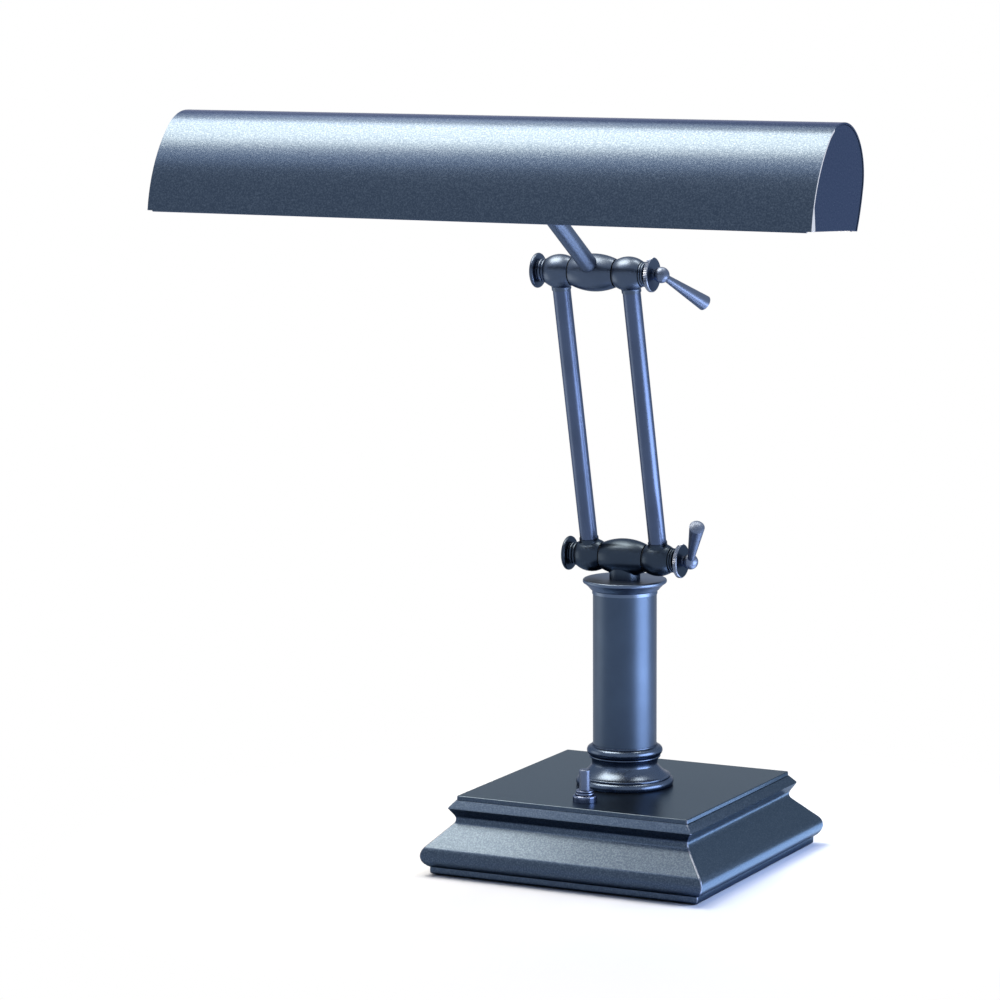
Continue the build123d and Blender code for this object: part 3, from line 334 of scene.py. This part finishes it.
# Gunmetal plating under lacquer on turned brass, castings and steel. It gives dark, blue-grey metal with
# clean tinted highlights, no visible tool marks, and a tone that drifts a little from place to place.
def plating(name, colour, glare, gloss, finishes):
    """Lacquered plating whose clouds set its tone and whose grain sets relief and roughness."""
    smooth, rough = gloss
    made, tree = new_material(name)
    place = add_node(tree, "ShaderNodeTexCoord").outputs["Object"]
    cloud = add_node(tree, "ShaderNodeTexNoise", {
        "Vector": place, "Scale": 1 / finishes.plating_cloud, "Detail": CLOUD_DETAIL}).outputs["Fac"]
    grain = add_node(tree, "ShaderNodeTexNoise", {
        "Vector": place, "Scale": 1 / finishes.plating_grain, "Detail": GRAIN_DETAIL}).outputs["Fac"]
    tone = add_node(tree, "ShaderNodeValToRGB", {"Fac": cloud})
    dark_end, light_end = tone.color_ramp.elements
    dark_end.color = opaque(colour, CLOUD_DARK)
    light_end.color = opaque(colour, CLOUD_LIGHT)
    relief = add_node(tree, "ShaderNodeBump", {
        "Height": grain, "Strength": GRAIN_STRENGTH, "Distance": GRAIN_RELIEF})
    haze = add_node(tree, "ShaderNodeMapRange", {"Value": grain, "To Min": smooth, "To Max": rough})
    shader = add_node(tree, "ShaderNodeBsdfPrincipled", {
        "Base Color": tone.outputs["Color"], "Metallic": 1, "Roughness": haze.outputs["Result"],
        "Specular Tint": opaque(glare), "Normal": relief.outputs["Normal"]})
    add_node(tree, "ShaderNodeOutputMaterial", {"Surface": shader.outputs["BSDF"]})
    return made


# What an evenly grained material is made of. The colour and the grain name settings of LampFinishes.
Grained = namedtuple("Grained", "material colour grain relief metallic gloss extra", defaults=({},))

# Sprayed white enamel: bright and glossy, with slow ripples that soften what it reflects
SHADE_ENAMEL = Grained("white_enamel", "lining", "enamel_ripple", 0.02 * MM, 0, (0.28, 0.36))

# Pale steel colour painted on the shade's cut ends and the hem corner: a painted highlight, a thin bright
# line along the cut
SHADE_EDGE_GLINT = Grained("rubbed_steel", "bare", "drawn_mark", 0.01 * MM, 1, (0.3, 0.42))

HARDWARE = {
    # Zinc plated pressings: pale, even metal with blurred reflections
    "zinc_steel": Grained("zinc_plated_steel", "zinc", "drawn_mark", 0.01 * MM, 1, (0.28, 0.42)),
    # Iron as it left the sand: dull, dark and pitted
    "weight_iron": Grained("sand_cast_iron", "iron", "casting_grain", 0.2 * MM, 0.6, (0.6, 0.8)),
    # Pressed wool: matt and tufted, with a pale fuzz at the rim
    "felt": Grained(
        "wool_felt", "felt", "felt_fibre", 0.3 * MM, 0, (0.9, 1.0),
        {"Sheen Weight": 0.4, "Sheen Roughness": 0.6}),
    # Moulded nylon: near black, with a low waxy gloss
    "nylon": Grained("moulded_nylon", "nylon", "mould_grain", 0.02 * MM, 0, (0.45, 0.55)),
    # Pressed fibre: dry and matt, finely flecked
    "fibre": Grained("pressed_fibre", "fibre", "fibre_bundle", 0.04 * MM, 0, (0.7, 0.85)),
    # Moulded phenolic: black with a hard, clear gloss
    "phenolic": Grained("moulded_phenolic", "phenolic", "flow_mark", 0.01 * MM, 0, (0.22, 0.32)),
    # Drawn brass: yellow metal with soft reflections
    "socket_brass": Grained("drawn_brass", "brass", "drawn_mark", 0.01 * MM, 1, (0.25, 0.35)),
    # Drawn aluminium: pale grey metal with soft reflections
    "cap_aluminium": Grained("drawn_aluminium", "aluminium", "drawn_mark", 0.01 * MM, 1, (0.3, 0.4)),
    # Glass frosted on the inside: milky white under a clear skin
    "bulb_glass": Grained(
        "frosted_glass", "glass", "glass_frost", 0.005 * MM, 0, (0.38, 0.46),
        {"IOR": 1.5, "Transmission Weight": 0.35}),
    # Extruded plastic: off-white with a faint gloss
    "wire": Grained("plastic_jacket", "wire", "jacket_mark", 0.01 * MM, 0, (0.4, 0.5)),
}


def grained(look, finishes):
    """Even material with one grain that shifts its tone, gloss and relief a little."""
    smooth, rough = look.gloss
    colour = getattr(finishes, look.colour)
    made, tree = new_material(look.material)
    place = add_node(tree, "ShaderNodeTexCoord").outputs["Object"]
    fleck = add_node(tree, "ShaderNodeTexNoise", {
        "Vector": place, "Scale": 1 / getattr(finishes, look.grain), "Detail": FLECK_DETAIL}).outputs["Fac"]
    tone = add_node(tree, "ShaderNodeValToRGB", {"Fac": fleck})
    dark_end, light_end = tone.color_ramp.elements
    dark_end.color = opaque(colour, FLECK_DARK)
    light_end.color = opaque(colour, FLECK_LIGHT)
    relief = add_node(tree, "ShaderNodeBump", {
        "Height": fleck, "Strength": FLECK_STRENGTH, "Distance": look.relief})
    haze = add_node(tree, "ShaderNodeMapRange", {"Value": fleck, "To Min": smooth, "To Max": rough})
    shader = add_node(tree, "ShaderNodeBsdfPrincipled", {
        "Base Color": tone.outputs["Color"], "Metallic": look.metallic, "Roughness": haze.outputs["Result"],
        "Normal": relief.outputs["Normal"], **look.extra})
    add_node(tree, "ShaderNodeOutputMaterial", {"Surface": shader.outputs["BSDF"]})
    return made


# Mesh building

def edge_reach(edge):
    """Distance of an edge from the nearer of the planes through the column's axis along X and Y."""
    middle = (edge.verts[0].co + edge.verts[1].co) / 2
    return min(abs(middle.x), abs(middle.y))


def is_mitre(edge):
    """True for an edge that runs up one of the base's mitred corners."""
    run = edge.verts[1].co - edge.verts[0].co
    return abs(abs(run.x) - abs(run.y)) < WELD_DISTANCE and edge_reach(edge) > MITRE_REACH


def sharp_edges(work):
    """Edges between two faces that meet at a visible angle."""
    return [e for e in work.edges if len(e.link_faces) == 2 and e.calc_face_angle() > SMOOTH_ANGLE]


def round_edges(work, edges, radius):
    """Rounds edges by a radius, or by less where there is no room."""
    bmesh.ops.bevel(
        work, geom=edges, offset=radius, offset_type="OFFSET", segments=ROUND_SEGMENTS,
        profile=ROUND_PROFILE, affect="EDGES", clamp_overlap=True, miter_outer="ARC", harden_normals=False)


def split_faces(work, faces, place, across):
    """Cuts faces in two at a plane and gives what lies on the cut."""
    parts = {*faces, *(e for f in faces for e in f.edges), *(v for f in faces for v in f.verts)}
    return bmesh.ops.bisect_plane(work, geom=list(parts), plane_co=place, plane_no=across)["geom_cut"]


def is_lip_bevel(face):
    """True for the bevel between the lip of the base and its top slab."""
    return face.normal.z > BEVEL_SHARE and LIP_LEVEL < face.calc_center_median().z < SLAB_LEVEL


def square_lip(work):
    """Gives the lip of the base its narrow upright nose, which lays the bevel above it a little flatter."""
    faces = [face for face in work.faces if is_lip_bevel(face)]
    for corner in split_faces(work, faces, (0, 0, NOSE_LEVEL), HEIGHT):
        if isinstance(corner, bmesh.types.BMVert):
            for axis in (0, 1):
                if abs(corner.co[axis]) > LIP_REACH - NOSE_PUSH:
                    corner.co[axis] = copysign(LIP_REACH, corner.co[axis])


def body_of_node(node):
    """Name of the body that carries a node."""
    for body, members in frame["record"]["behaviour"]["bodies"].items():
        if node in members:
            return body
    raise RuntimeError("no body holds " + node)


def eased(node, name, radius, mitre_radius=0):
    """Copy of a solid's mesh with its sharp edges rounded, in place of the solid."""
    source = frame["nodes"][node]
    mesh = bpy.data.meshes.new(name)
    work = bmesh.new()
    work.from_mesh(source.data)
    bmesh.ops.remove_doubles(work, verts=work.verts, dist=WELD_DISTANCE)
    bmesh.ops.dissolve_limit(
        work, angle_limit=FLAT_ANGLE, verts=work.verts, edges=work.edges, use_dissolve_boundaries=False)
    if mitre_radius:
        square_lip(work)
        round_edges(work, [e for e in sharp_edges(work) if is_mitre(e)], mitre_radius)
    round_edges(work, sharp_edges(work), radius)
    work.to_mesh(mesh)
    work.free()
    mesh.polygons.foreach_set("use_smooth", [True] * len(mesh.polygons))
    mesh.set_sharp_from_angle(angle=SMOOTH_ANGLE)
    piece = bpy.data.objects.new(name, mesh)
    bpy.context.scene.collection.objects.link(piece)
    weights = piece.modifiers.new("even_normals", "WEIGHTED_NORMAL")
    weights.keep_sharp = True
    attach(piece, body_of_node(node))
    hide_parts(node)
    return piece


def dress(piece, node, *materials):
    """Gives a piece its materials. The node is not used."""
    piece.data.materials.clear()
    for material in materials:
        piece.data.materials.append(material)


def is_mitre_glint(face):
    """True for the narrow faces that round the mitres of the base."""
    place, normal = face.center, face.normal
    turned = min(abs(normal.x), abs(normal.y)) > MITRE_SHARE
    return turned and min(abs(place.x), abs(place.y)) > MITRE_REACH


class LAMP_OT_base(bpy.types.Operator):
    """Ease the mitred base and coat it"""
    bl_idname = "lamp.base"
    bl_label = "Base"

    def execute(self, context):
        finishes, edges = context.scene.lamp_finishes, context.scene.lamp_edges
        coat = powder_coat("powder_coated_casting", finishes.base_edge, BASE_GLOSS, finishes)
        # Paler, smoother colour painted on the mitres: a painted highlight along each corner
        rubbed = plating("rubbed_powder_coat", finishes.rubbed, finishes.edge, GLINT_GLOSS, finishes)
        piece = eased("base_casting", "moulded_base", edges.base, edges.mitre)
        dress(piece, "base_casting", coat, rubbed)
        # The faces round the mitres get the painted highlight
        for face in piece.data.polygons:
            face.material_index = int(is_mitre_glint(face))
        return {"FINISHED"}


def is_end(normal):
    """True for a face that looks along the shade."""
    return abs(normal.x) > END_SHARE


def is_side(normal):
    """True for a face that runs along the shade."""
    return not is_end(normal)


def cut_faces(mesh, wanted, place, across):
    """Cuts the wanted faces of a mesh in two at a plane, which leaves their shape as it is."""
    work = bmesh.new()
    work.from_mesh(mesh)
    split_faces(work, [face for face in work.faces if wanted(face.normal)], place, across)
    work.to_mesh(mesh)
    work.free()


def finish_trough(mesh):
    """Lines the faces that look at the bulbs, gives the undersides of the hems the white lining as a
    painted reflection of the floor, and paints the front ends pale as a painted highlight.
    """
    low, high = (Vector(corner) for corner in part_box("left_bulb_glass"))
    bulb = Vector((0, (low.y + high.y) / 2, (low.z + high.z) / 2))
    lip_top = min(v.co.z for v in mesh.vertices) + LIP_BAND
    crown = max(mesh.vertices, key=lambda v: v.co.z).co.y - CROWN_GAP
    end = CAD_BOX[1][0] - LINING_MARGIN
    cut_faces(mesh, is_end, Vector((0, crown, 0)), Vector(DEPTH))
    for side in (-end, end):
        cut_faces(mesh, is_side, Vector((side, 0, 0)), Vector(LENGTH))
    for face in mesh.polygons:
        outward = face.center - bulb
        inside = outward.dot(face.normal) < -INSIDE_SHARE * outward.length
        # The undersides of the hems get the white lining: a painted reflection of the floor
        hem_reflection = face.normal.z < -DOWN_SHARE and face.center.z < lip_top
        lined = (inside or hem_reflection) and abs(face.center.x) < end
        # Front ends get the pale colour: a painted highlight
        bare = is_end(face.normal) and face.center.y < crown and not lined
        face.material_index = LINING if lined else PAINTED_EDGE_GLINT if bare else COAT


def finish_end(mesh):
    """Lines the inner face of an end plate and paints the corner where the front hem folds against it pale,
    a painted highlight.
    """
    front = min(v.co.y for v in mesh.vertices)
    bottom = min(v.co.z for v in mesh.vertices)
    foot = Vector((0, front + HEM_CORNER_DEPTH, bottom))
    above = min(v.co.y for v in mesh.vertices if v.co.z > bottom + HEM_CORNER_HEIGHT)
    across = Vector((0, HEM_CORNER_HEIGHT, foot.y - above))
    cut_faces(mesh, is_end, foot, across)
    for face in mesh.polygons:
        flat = is_end(face.normal)
        lined = flat and face.normal.x * face.center.x < 0
        # The hem corner gets the pale colour: a painted highlight
        bare = flat and (face.center - foot).dot(across) < 0
        face.material_index = LINING if lined else PAINTED_EDGE_GLINT if bare else COAT


SHADE_PIECES = {
    "shade_shell": ("shade_trough_eased", finish_trough),
    "left_end_plate": ("left_end_plate_eased", finish_end),
    "right_end_plate": ("right_end_plate_eased", finish_end),
}


class LAMP_OT_shade(bpy.types.Operator):
    """Ease the trough shade and its ends, coat the outside and line the inside"""
    bl_idname = "lamp.shade"
    bl_label = "Shade"

    def execute(self, context):
        finishes, edges = context.scene.lamp_finishes, context.scene.lamp_edges
        coat = powder_coat("powder_coated_sheet", finishes.shade_edge, SHADE_GLOSS, finishes)
        enamel = grained(SHADE_ENAMEL, finishes)
        glint_steel = grained(SHADE_EDGE_GLINT, finishes)
        for node, (name, finish) in SHADE_PIECES.items():
            piece = eased(node, name, edges.shade)
            dress(piece, node, coat, enamel, glint_steel)
            finish(piece.data)
        return {"FINISHED"}


# What a group of plated pieces is made of. The colour and the glare name settings of LampFinishes.
Plated = namedtuple("Plated", "nodes material colour glare gloss")
HINGE_PIECES = ("barrel", "right_knuckle", "left_knuckle", "cap_nut", "clamp_nut")
UPPER_HINGE = tuple("upper_" + piece for piece in HINGE_PIECES)
LOWER_HINGE = tuple("lower_" + piece for piece in HINGE_PIECES)
LEVERS = (
    "lower_lever_ball", "upper_lever_ball", "lower_lever_handle", "upper_lever_handle", "switch_button")

PLATED = (
    # Turned brass, satin: broad soft bands of light and pale rims
    Plated(("column_tube",), "satin_gunmetal_plated_brass", "column", "column_edge", (0.38, 0.46)),
    # Drawn tube, satin: one slim line of light along each arm
    Plated(("right_arm_tube", "left_arm_tube"), "satin_gunmetal_plated_tube", "tube", "edge", (0.30, 0.38)),
    # Drawn tube with a thinner plating: paler, with a dull and wide line of light
    Plated(("shade_rod", "rod_elbow"), "pale_gunmetal_plated_tube", "rod", "edge", (0.42, 0.50)),
    # Turned brass, the column's plating painted paler: a painted highlight, so the rim over the dark column
    # shows brighter
    Plated(("column_cap",), "pale_gunmetal_plated_brass", "cap", "edge", (0.30, 0.38)),
    # Smooth castings: dark barrels with round, clear highlights
    Plated(UPPER_HINGE, "dark_gunmetal_plated_casting", "casting", "edge", (0.30, 0.37)),
    # The same castings painted darker on the lower hinge: painted shade, near black with small highlights
    Plated(LOWER_HINGE, "deep_gunmetal_plated_casting", "low_casting", "edge", (0.28, 0.34)),
    # Turned and polished brass: dark mouldings with crisp lines of light
    Plated(("column_foot",), "polished_dark_gunmetal_plated_brass", "foot", "edge", (0.25, 0.31)),
    # Polished nut and collar, painted paler than their dark tone: a painted highlight, bright, sharp glints
    # on small steps
    Plated(("switch_nut", "switch_body"), "polished_gunmetal_plated_nut", "switch", "edge", (0.20, 0.26)),
    # Turned steel that hands keep bright: pale blue-grey with a soft sheen
    Plated(LEVERS, "polished_gunmetal_plated_steel", "lever", "edge", (0.40, 0.46)),
)

EASED_FITTINGS = {
    "column_cap": "flared_column_cap",
    "column_foot": "moulded_column_foot",
    "switch_nut": "round_switch_nut",
    "lower_cap_nut": "lower_stepped_cap",
    "upper_cap_nut": "upper_stepped_cap",
    "lower_clamp_nut": "lower_knurled_clamp",
    "upper_clamp_nut": "upper_knurled_clamp",
}
KNURLED = ("lower_clamp_nut", "upper_clamp_nut")


def paint_rim_glint(mesh, node):
    """Gives the knurled rim of a clamp nut its second, brighter material, a painted highlight on the teeth.
    """
    low, high = (Vector(corner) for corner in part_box(node))
    middle, reach = (low + high) / 2, (high.z - low.z) / 2
    for face in mesh.polygons:
        spoke = face.center - middle
        rim = Vector((0, spoke.y, spoke.z)).length > RIM_SHARE * reach
        face.material_index = int(rim and not is_end(face.normal))


class LAMP_OT_fittings(bpy.types.Operator):
    """Ease and plate the column, hinges, arms, levers and switch"""
    bl_idname = "lamp.fittings"
    bl_label = "Column, hinges and arms"

    def execute(self, context):
        finishes, edges = context.scene.lamp_finishes, context.scene.lamp_edges
        # Brighter plating painted on the teeth of the clamp nuts: a painted highlight, bright points round
        # a dark disc
        rubbed = plating("rubbed_plated_knurl", finishes.knurl, finishes.edge, GLINT_GLOSS, finishes)
        for group in PLATED:
            colour, glare = getattr(finishes, group.colour), getattr(finishes, group.glare)
            finish = plating(group.material, colour, glare, group.gloss, finishes)
            for node in group.nodes:
                name = EASED_FITTINGS.get(node)
                piece = eased(node, name, edges.turned) if name else frame["nodes"][node]
                if node in KNURLED:
                    dress(piece, node, finish, rubbed)
                    paint_rim_glint(piece.data, node)
                else:
                    dress(piece, node, finish)
        return {"FINISHED"}


class LAMP_OT_inside(bpy.types.Operator):
    """Finish the hidden hardware, the sockets, the bulbs and the underside"""
    bl_idname = "lamp.inside"
    bl_label = "Hardware, sockets and bulbs"

    def execute(self, context):
        finishes = context.scene.lamp_finishes
        looks = {slot: grained(look, finishes) for slot, look in HARDWARE.items()}
        for entry in frame["record"]["subparts"]:
            if entry["material_slot"] in looks:
                dress(frame["nodes"][entry["node"]], entry["node"], looks[entry["material_slot"]])
        return {"FINISHED"}


# Points that the lights look at: the middle of the lamp, the column, and straight up from the low panel
LAMP_MIDDLE = (0, -0.06, 0.22)
COLUMN_MIDDLE = (0, 0, 0.1)
OVER_LOW = (0.116, 0.05, 1)

# The power and the tint name settings of LampStage. Sizes and places are in metres, and along is the way
# that the second size runs.
SoftBox = namedtuple("SoftBox", "power tint size place aim along")
SOFT_BOXES = {
    "key_soft_box": SoftBox("key", "key_tint", (0.9, 0.82), (-0.585, -0.125, 1.56), LAMP_MIDDLE, DEPTH),
    "front_box": SoftBox("front", "side_tint", (0.9, 0.34), (-0.585, -0.72, 1.5), LAMP_MIDDLE, DEPTH),
    "back_box": SoftBox("back", "key_tint", (0.6, 0.5), (-0.66, 0.56, 1.5), LAMP_MIDDLE, DEPTH),
    "top_box": SoftBox("top", "key_tint", (0.4, 0.4), (0.22, 0.46, 1.55), LAMP_MIDDLE, DEPTH),
    "low_panel": SoftBox("low", "side_tint", (0.07, 0.26), (0.116, 0.05, 0.002), OVER_LOW, DEPTH),
    "side_panel": SoftBox("side", "side_tint", (0.26, 0.2), (0.31, 0.015, 0.101), COLUMN_MIDDLE, HEIGHT),
    "left_panel": SoftBox("left", "key_tint", (0.25, 0.24), (-0.4, -0.1, 0.121), COLUMN_MIDDLE, HEIGHT),
}


class LAMP_OT_stage(bpy.types.Operator):
    """Lay the floor, light it and set the camera where the photograph was taken"""
    bl_idname = "lamp.stage"
    bl_label = "Stage"

    def execute(self, context):
        scene, stage = context.scene, context.scene.lamp_stage
        scene.view_settings.view_transform = "Standard"
        self.camera(scene, stage)
        self.floor(scene, stage)
        self.world(scene, stage)
        for name, box in SOFT_BOXES.items():
            self.light(scene, stage, name, box)
        return {"FINISHED"}

    def camera(self, scene, stage):
        """Camera with the photograph's place, turn and lens."""
        lens = bpy.data.cameras.new("photo_camera")
        lens.sensor_fit = "HORIZONTAL"
        lens.sensor_width = stage.sensor
        lens.lens = stage.lens
        level = cos(stage.pitch)
        back = Vector((sin(stage.yaw) * level, -cos(stage.yaw) * level, sin(stage.pitch)))
        right = Vector((cos(stage.yaw), sin(stage.yaw), 0))
        up = back.cross(right)
        turn = Matrix((right, up, back)).transposed() @ Matrix.Rotation(stage.roll, 3, "Z")
        made = bpy.data.objects.new("photo_camera", lens)
        made.matrix_world = Matrix.Translation(Vector(stage.eye)) @ turn.to_4x4()
        scene.collection.objects.link(made)
        scene.camera = made

    def floor(self, scene, stage):
        """Floor that keeps the shadow near the base and fades to plain white away from it."""
        corners = [(x, y, 0) for x, y in ((-1, -1), (1, -1), (1, 1), (-1, 1))]
        mesh = bpy.data.meshes.new("floor")
        mesh.from_pydata([Vector(corner) * stage.floor_half for corner in corners], [], [(0, 1, 2, 3)])
        made = bpy.data.objects.new("floor", mesh)
        scene.collection.objects.link(made)
        # Matt paint on a board: pale, with a soft shadow and no reflections
        material, tree = new_material("pale_painted_floor")
        place = add_node(tree, "ShaderNodeTexCoord").outputs["Object"]
        away = add_node(tree, "ShaderNodeVectorMath", {0: place}, operation="LENGTH").outputs["Value"]
        fade = add_node(tree, "ShaderNodeMapRange", {
            "Value": away, "From Min": stage.floor_near, "From Max": stage.floor_far},
            interpolation_type="SMOOTHSTEP").outputs["Result"]
        white = add_node(tree, "ShaderNodeMath", {0: seen_rays(tree), 1: fade}, operation="MULTIPLY")
        matt = add_node(tree, "ShaderNodeBsdfDiffuse", {"Color": opaque(stage.floor)})
        glow = add_node(tree, "ShaderNodeEmission", {"Color": opaque(WHITE)})
        both = add_node(tree, "ShaderNodeMixShader", {
            0: white.outputs[0], 1: matt.outputs[0], 2: glow.outputs[0]})
        add_node(tree, "ShaderNodeOutputMaterial", {"Surface": both.outputs[0]})
        mesh.materials.append(material)

    def world(self, scene, stage):
        """White surroundings that light the lamp only a little."""
        world = bpy.data.worlds.new("white_studio")
        world.use_nodes = True
        tree = world.node_tree
        tree.nodes.clear()
        level = add_node(tree, "ShaderNodeMapRange", {
            "Value": seen_rays(tree), "To Min": stage.fill, "To Max": 1}).outputs["Result"]
        sky = add_node(tree, "ShaderNodeBackground", {"Color": opaque(WHITE), "Strength": level})
        add_node(tree, "ShaderNodeOutputWorld", {"Surface": sky.outputs[0]})
        scene.world = world

    def light(self, scene, stage, name, box):
        """Area lamp that looks at a point of the desk lamp and that the camera doesn't see."""
        lamp = bpy.data.lights.new(name, "AREA")
        lamp.shape = "RECTANGLE"
        lamp.size, lamp.size_y = box.size
        lamp.energy = getattr(stage, box.power)
        lamp.color = getattr(stage, box.tint)
        place = Vector(box.place)
        back = (place - Vector(box.aim)).normalized()
        right = Vector(box.along).cross(back).normalized()
        turn = Matrix((right, back.cross(right), back)).transposed()
        made = bpy.data.objects.new(name, lamp)
        made.matrix_world = Matrix.Translation(place) @ turn.to_4x4()
        made.visible_camera = False
        scene.collection.objects.link(made)


STEPS = (LAMP_OT_base, LAMP_OT_shade, LAMP_OT_fittings, LAMP_OT_inside, LAMP_OT_stage)
GROUPS = {"lamp_finishes": LampFinishes, "lamp_edges": LampEdges, "lamp_stage": LampStage}


class LAMP_PT_panel(bpy.types.Panel):
    """Steps that finish the lamp, and their settings"""
    bl_idname = "LAMP_PT_panel"
    bl_label = "Desk lamp"
    bl_space_type = "VIEW_3D"
    bl_region_type = "UI"
    bl_category = "Desk lamp"

    def draw(self, context):
        for step in STEPS:
            self.layout.operator(step.bl_idname)
        for name, group in GROUPS.items():
            self.layout.label(text=group.__doc__)
            for setting in group.__annotations__:
                self.layout.prop(getattr(context.scene, name), setting)


def register():
    for made in (*GROUPS.values(), *STEPS, LAMP_PT_panel):
        bpy.utils.register_class(made)
    for name, group in GROUPS.items():
        setattr(bpy.types.Scene, name, bpy.props.PointerProperty(type=group))


def unregister():
    for name in GROUPS:
        delattr(bpy.types.Scene, name)
    for made in (LAMP_PT_panel, *STEPS, *GROUPS.values()):
        bpy.utils.unregister_class(made)


def main():
    register()
    for step in STEPS:
        group, name = step.bl_idname.split(".")
        getattr(getattr(bpy.ops, group), name)()


if __name__ == "__main__":
    main()
